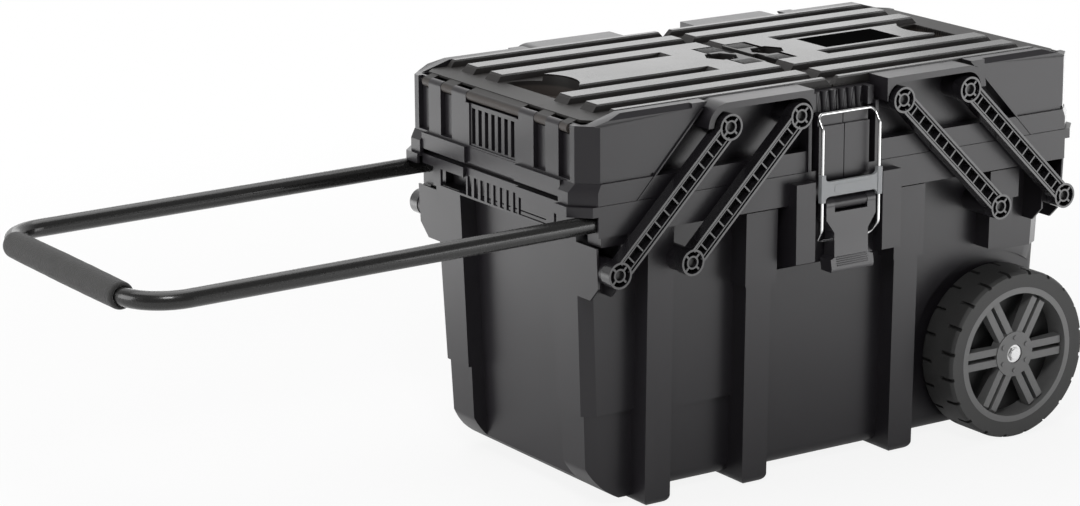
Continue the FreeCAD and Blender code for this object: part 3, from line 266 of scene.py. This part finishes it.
def make_materials():
    """One finish for each material slot of the record."""
    made = {
        "shell": moulded("charcoal moulding", 0.016, 0.34, warm=-0.04, plum=0.14),
        "lid": moulded("lid moulding", 0.008, 0.26, warm=0.16, plum=0.05, ridged=True),
        "arm": moulded("arm moulding", 0.016, 0.24, warm=-0.04, plum=0.1, coat=0.6),
        "divider": moulded("divider moulding", 0.018, 0.45),
        "catch": moulded("catch moulding", 0.018, 0.38, warm=0.04),
        "lever": moulded("lever moulding", 0.026, 0.34, warm=-0.04, plum=0.1, coat=0.3),
        "pins": moulded("black moulding", 0.014, 0.4),
        "wheel_rim": moulded("grey rim moulding", 0.17, 0.40, patch=0.06),
        "wheel_core": moulded("inner wheel moulding", 0.012, 0.5),
        "clip": moulded("light grey moulding", 0.36, 0.38, warm=-0.03, patch=0.04),
        "steel": plated("zinc plated steel", 0.52, 0.68, 0.22),
        "wire": plated("bright plated wire", 0.66, 0.82, 0.1, (1.0, 1.0, 0.08)),
        "tube": powder_coat(),
        "tyre": tyre_moulding(),
        "grip": foam_sleeve(),
        "label": bare_plate(),
    }
    made["plug"] = made["pins"]
    return made


materials = make_materials()
slot_of = {entry["node"]: entry["material_slot"] for entry in record["subparts"]}
body_of = {node: body for body, members in record["behaviour"]["bodies"].items() for node in members}


def dress(obj, slot):
    obj.data.materials.clear()
    obj.data.materials.append(materials[slot])


for name, obj in nodes.items():
    dress(obj, slot_of[name])


# ------------------------------------------------------------------ softened copies of the nodes

PLAIN = ("handle_tube", "handle_grip", "handle_tube_plugs", "axle", "label_plate", "latch_wire",
         "left_lid_hinge_pin", "right_lid_hinge_pin", "latch_lever_pin")
EDGE = 0.0004                           # how far an edge is rounded over
WIDER_EDGES = {"bin_shell": 0.0008, "left_tray": 0.0006, "right_tray": 0.0006, "front_tyre": 0.0007,
               "rear_tyre": 0.0007, "front_wheel_rim": 0.0006, "rear_wheel_rim": 0.0006}
ARM_EDGE = 0.0007
EDGE_STEPS = 2
SHARP = math.radians(28.0)              # edges that turn further than this are rounded
FLAT = math.radians(0.6)                # faces that turn less than this are one face
CREASE = math.radians(40.0)             # the shading doesn't blend across a sharper turn
STRAY = 0.8                             # share of the rounding that a point may leave the solid by
TRAY_BEVEL = 0.4599                     # |x| + |y| on the bevelled corners of the trays
TRAY_RIM_FOOT = 0.3995


def piece(name, mesh, body, slot):
    obj = bpy.data.objects.new(name, mesh)
    bpy.context.scene.collection.objects.link(obj)
    dress(obj, slot)
    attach(obj, body)
    return obj


def smooth_mesh(name, work):
    """Ends a bmesh as a mesh with smooth faces."""
    for face in work.faces:
        face.smooth = True
    mesh = bpy.data.meshes.new(name)
    work.to_mesh(mesh)
    work.free()
    return mesh


def flat_normals(mesh):
    """Each corner takes the normals of the faces it blends with, the larger faces counting more,
    so that flat faces stay flat and the shading turns in the narrow edges between them."""
    around = [[] for vert in mesh.vertices]
    faces = [(face.normal.copy(), face.area) for face in mesh.polygons]
    for face in mesh.polygons:
        for vert in face.vertices:
            around[vert].append(faces[face.index])
    limit = math.cos(CREASE)
    corners = []
    for face in mesh.polygons:
        own = faces[face.index][0]
        for vert in face.vertices:
            total = Vector()
            for normal, area in around[vert]:
                if own.dot(normal) > limit:
                    total += normal * area
            corners.append(total.normalized() if total.length else own)
    mesh.normals_split_custom_set(corners)


def trim_corners(work):
    """The ends of a tray's raised rim follow the bevelled corners of the tray."""
    for vert in work.verts:
        over = abs(vert.co.x) + abs(vert.co.y) - TRAY_BEVEL
        if over > 0 and vert.co.z > TRAY_RIM_FOOT:
            vert.co.x -= math.copysign(over / 2, vert.co.x)
            vert.co.y -= math.copysign(over / 2, vert.co.y)


def round_edges(work, width):
    """Bevels the sharp edges; a point that a crowded corner throws out goes back to the solid."""
    edges = [edge for edge in work.edges if len(edge.link_faces) == 2 and edge.calc_face_angle(0.0) > SHARP]
    solid = BVHTree.FromBMesh(work)
    bmesh.ops.bevel(work, geom=edges, offset=width, offset_type="OFFSET", segments=EDGE_STEPS, profile=0.5,
                    affect="EDGES", clamp_overlap=True, material=-1, loop_slide=True)
    for vert in work.verts:
        nearest, _, _, away = solid.find_nearest(vert.co)
        if away > width * STRAY:
            vert.co = nearest


def softened(node, width):
    """A copy of a frame node with its sharp edges rounded over as a mould leaves them."""
    work = bmesh.new()
    work.from_mesh(nodes[node].data)
    bmesh.ops.remove_doubles(work, verts=work.verts, dist=1e-5)
    bmesh.ops.dissolve_limit(work, angle_limit=FLAT, verts=work.verts, edges=work.edges,
                             use_dissolve_boundaries=False)
    if node.endswith("_lid"):
        bmesh.ops.connect_verts_concave(work, faces=work.faces)
    round_edges(work, width)
    if node.endswith("_tray"):
        trim_corners(work)
    mesh = smooth_mesh(node + "_soft", work)
    flat_normals(mesh)
    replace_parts(piece(node + "_soft", mesh, body_of[node], slot_of[node]), node)


# ------------------------------------------------------------------ new pieces

GRIP_BORE = 0.00905                     # radius, just over the tube's
GRIP_CROWN = 0.0005                     # the middle is thicker than the ends by this
GRIP_STRAIGHT = 0.955                   # share of the length between the soft ends
GRIP_STEPS, GRIP_SIDES = 20, 56
GRIP_LUMPS = ((70.0, 0.00018), (260.0, 0.00008))    # how dense, how high
GRIP_SINK = 0.00026                     # keeps the lumps inside the solid
PAD_RIBS, PAD_OFFSET = 9, 0.0335        # on each finger pad of a lid catch
LEVER_RIBS, LEVER_RIB_PITCH, LEVER_RIB_LOW = 5, 0.0021, 0.2266
LEVER_TOE = (-0.1842, 0.237)            # y, z where the foot's face starts to lean
LEVER_LEAN = 3.0 / 13.0
SCOOP_TEETH, SCOOP_PITCH = 23, 0.0037


def finished(name, work, body, slot, crease=CREASE):
    """Turns a bmesh into a piece, its faces pointing outwards and its soft edges smooth."""
    bmesh.ops.remove_doubles(work, verts=work.verts, dist=1e-6)
    bmesh.ops.recalc_face_normals(work, faces=work.faces)
    mesh = smooth_mesh(name, work)
    mesh.set_sharp_from_angle(angle=crease)
    return piece(name, mesh, body, slot)


def bar(work, centre, size, round_off, turn=0.0):
    """A small block with rounded edges; turn leans it about the X axis."""
    made = bmesh.ops.create_cube(work, size=1.0)["verts"]
    bmesh.ops.scale(work, vec=size, verts=made)
    edges = {edge for vert in made for edge in vert.link_edges}
    made = bmesh.ops.bevel(work, geom=list(edges), offset=round_off, offset_type="OFFSET", segments=2,
                           profile=0.5, affect="EDGES", material=-1, clamp_overlap=True)["verts"]
    bmesh.ops.rotate(work, cent=(0, 0, 0), matrix=Matrix.Rotation(turn, 3, "X"), verts=made)
    bmesh.ops.translate(work, vec=centre, verts=made)


def foam_grip():
    """The foam sleeve: a slightly crowned tube with soft ends, its skin a little uneven."""
    low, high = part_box("handle_grip")
    centre = (Vector(low) + Vector(high)) / 2
    half, radius = (high[1] - low[1]) / 2, (high[2] - low[2]) / 2
    outline = [(GRIP_BORE, half - 0.0012), (GRIP_BORE + 0.0012, half - 0.0002),
               (radius - 0.0030, half - 0.0002), (radius - 0.0014, half - 0.0011),
               (radius - 0.0007, half - 0.0030)]
    outline += [(radius - GRIP_CROWN * (step / GRIP_STEPS) ** 2, half * step / GRIP_STEPS * GRIP_STRAIGHT)
                for step in range(GRIP_STEPS, -1, -1)]
    outline += [(out, -along) for out, along in reversed(outline[:-1])]
    work = bmesh.new()
    verts = [work.verts.new((centre.x + out, centre.y + along, centre.z)) for out, along in outline]
    edges = [work.edges.new(pair) for pair in zip(verts, verts[1:] + verts[:1])]
    bmesh.ops.spin(work, geom=verts + edges, cent=centre, axis=(0, 1, 0), dvec=(0, 0, 0),
                   angle=math.tau, steps=GRIP_SIDES, use_merge=True, use_duplicate=False)
    for vert in work.verts:
        out = Vector((vert.co.x - centre.x, 0, vert.co.z - centre.z))
        if out.length > GRIP_BORE + 0.002:
            lump = sum(noise.noise(vert.co * dense) * tall for dense, tall in GRIP_LUMPS)
            vert.co += out.normalized() * (lump - GRIP_SINK)
    sleeve = finished("handle_foam", work, "handle", "grip", math.radians(60))
    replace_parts(sleeve, "handle_grip")


def catch_ribs(side, sign):
    """Fine ribs across both finger pads of a lid catch."""
    low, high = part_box(side + "_lid_catch")
    work = bmesh.new()
    inner, outer = sorted((abs(low[0]), abs(high[0])))
    pitch = (outer - inner - 0.0062) / (PAD_RIBS - 1)
    for pad in (-1, 1):
        for index in range(PAD_RIBS):
            place = (sign * (inner + 0.0042 + index * pitch), pad * PAD_OFFSET, high[2] + 0.00008)
            bar(work, place, (0.0012, 0.0205, 0.0007), 0.00022)
    finished(side + "_catch_ribs", work, side + "_lid_catch", "catch")


def lever_ribs():
    """Fine ribs on the leaning foot of the latch lever."""
    work = bmesh.new()
    toe_y, toe_z = LEVER_TOE
    for index in range(LEVER_RIBS):
        z = LEVER_RIB_LOW + index * LEVER_RIB_PITCH
        y = toe_y - (toe_z - z) * LEVER_LEAN
        bar(work, (0.0, y + 0.0001, z), (0.040, 0.0010, 0.0011), 0.00025, math.atan(LEVER_LEAN))
    finished("latch_lever_ribs", work, "latch_lever", "lever")


def scoop_teeth():
    """Upright ribs on the end wall of the right lid's finger scoop."""
    work = bmesh.new()
    for index in range(SCOOP_TEETH):
        y = (index - SCOOP_TEETH // 2) * SCOOP_PITCH
        bar(work, (0.2657, y, 0.3975), (0.0016, 0.0014, 0.0140), 0.0003)
    finished("right_scoop_teeth", work, "right_lid", "lid")


# ------------------------------------------------------------------ studio

WHITE = (1.0, 1.0, 1.0, 1.0)
ROOM_LIGHT = 0.4                        # the room as a lamp; it looks white
ROOM_DIM_SIDE = (-0.6, -0.75, 0.3)      # the room fades to a quarter towards this
FLOOR_DIM_SIDE = (-0.83, -0.55, 0.0)    # the floor's dark side, where nothing glows
FLOOR_RADIUS, FLOOR_LEVEL = 24.0, -0.0006
LAMPS = (                               # name, place, aim, size, watts
    ("overhead softbox", (-0.2, 0.6, 3.0), (0.0, 0.0, 0.3), (3.0, 2.4), 42.0),
    ("high left softbox", (-1.5, -1.9, 2.5), (0.0, 0.0, 0.3), (0.8, 0.8), 28.0),
    ("back softbox", (1.2, 2.5, 1.1), (0.0, 0.0, 0.35), (1.7, 1.0), 4.5),
    ("left softbox", (-3.4, 0.9, 1.1), (0.0, 0.0, 0.2), (1.8, 1.8), 38.0),
    ("front softbox", (1.9, -2.8, 0.6), (0.0, 0.0, 0.3), (1.6, 0.9), 15.0),
)


def lamp(name, place, aim, size, power):
    data = bpy.data.lights.new(name, "AREA")
    data.shape = "RECTANGLE"
    data.size, data.size_y = size
    data.energy = power
    obj = bpy.data.objects.new(name, data)
    bpy.context.scene.collection.objects.link(obj)
    turn = (Vector(aim) - Vector(place)).to_track_quat("-Z", "Y").to_matrix().to_4x4()
    obj.matrix_world = Matrix.Translation(place) @ turn


def make_world():
    """Even grey light that fades on one side; white where it is seen directly or in a reflection."""
    world = bpy.data.worlds.new("studio")
    bpy.context.scene.world = world
    graph = Graph(world)
    seen = graph.node("ShaderNodeLightPath", {}, out="Is Camera Ray")
    seen = (seen + seen.beside("Is Glossy Ray") + seen.beside("Is Transmission Ray")).above(0.0, 1.0)
    way = graph.node("ShaderNodeTexCoord", {}, out="Generated")
    faded = 1.0 - way.along(ROOM_DIM_SIDE).above(-0.6, 0.2) * 0.75
    background = graph.tree.nodes["Background"]
    graph.feed(background, "Color", WHITE)
    graph.feed(background, "Strength", (seen * (1.0 - ROOM_LIGHT) + ROOM_LIGHT) * faded)


def white_paper():
    """White where it is seen, with the shadow kept near the box; reflections show a painted glow further
    out, left out near the box as painted shadow of the box.
    """
    paper = Surface("white paper", Roughness=0.9, Base_Color=(0.9, 0.9, 0.9, 1.0))
    spot = paper.spot()
    away = paper.node("ShaderNodeVectorMath", {"operation": "LENGTH"}, spot, out="Value")
    camera = paper.node("ShaderNodeLightPath", {}, out="Is Camera Ray")
    glossy, clear = camera.beside("Is Glossy Ray"), camera.beside("Is Transmission Ray")
    dimmed = (spot.along(FLOOR_DIM_SIDE) * (1.0 / 1.5)).above(0.0, 0.65)
    # painted shadow: the floor glows in reflections only away from the box and off its dark side
    glow_outside_painted_shade = away.above(0.25, 1.25) * (1.0 - dimmed)
    glow = paper.node("ShaderNodeEmission", {}, WHITE, glossy * glow_outside_painted_shade * 2.1 + 1.0)
    white = (camera * (away.above(0.5, 1.6) * 0.12 + 0.88) + clear * 0.6
             + glossy * (glow_outside_painted_shade * 0.7 + 0.25 - dimmed * 0.1))
    both = paper.node("ShaderNodeMixShader", {}, white, Value(paper, paper.shader.outputs[0]), glow)
    paper.feed(paper.tree.nodes["Material Output"], "Surface", both)
    return paper.material


def make_floor():
    floor = bmesh.new()
    bmesh.ops.create_circle(floor, cap_ends=True, segments=96, radius=FLOOR_RADIUS)
    mesh = bpy.data.meshes.new("studio_floor")
    floor.to_mesh(mesh)
    floor.free()
    ground = bpy.data.objects.new("studio_floor", mesh)
    bpy.context.scene.collection.objects.link(ground)
    ground.location.z = FLOOR_LEVEL
    ground.data.materials.append(white_paper())


bpy.context.scene.view_settings.view_transform = "Standard"
make_world()
for settings in LAMPS:
    lamp(*settings)
make_floor()

# ------------------------------------------------------------------ the whole box

for name in list(nodes):
    if name not in PLAIN:
        softened(name, ARM_EDGE if name.endswith("_arm") else WIDER_EDGES.get(name, EDGE))
foam_grip()
for side, sign in (("left", -1), ("right", 1)):
    catch_ribs(side, sign)
lever_ribs()
scoop_teeth()
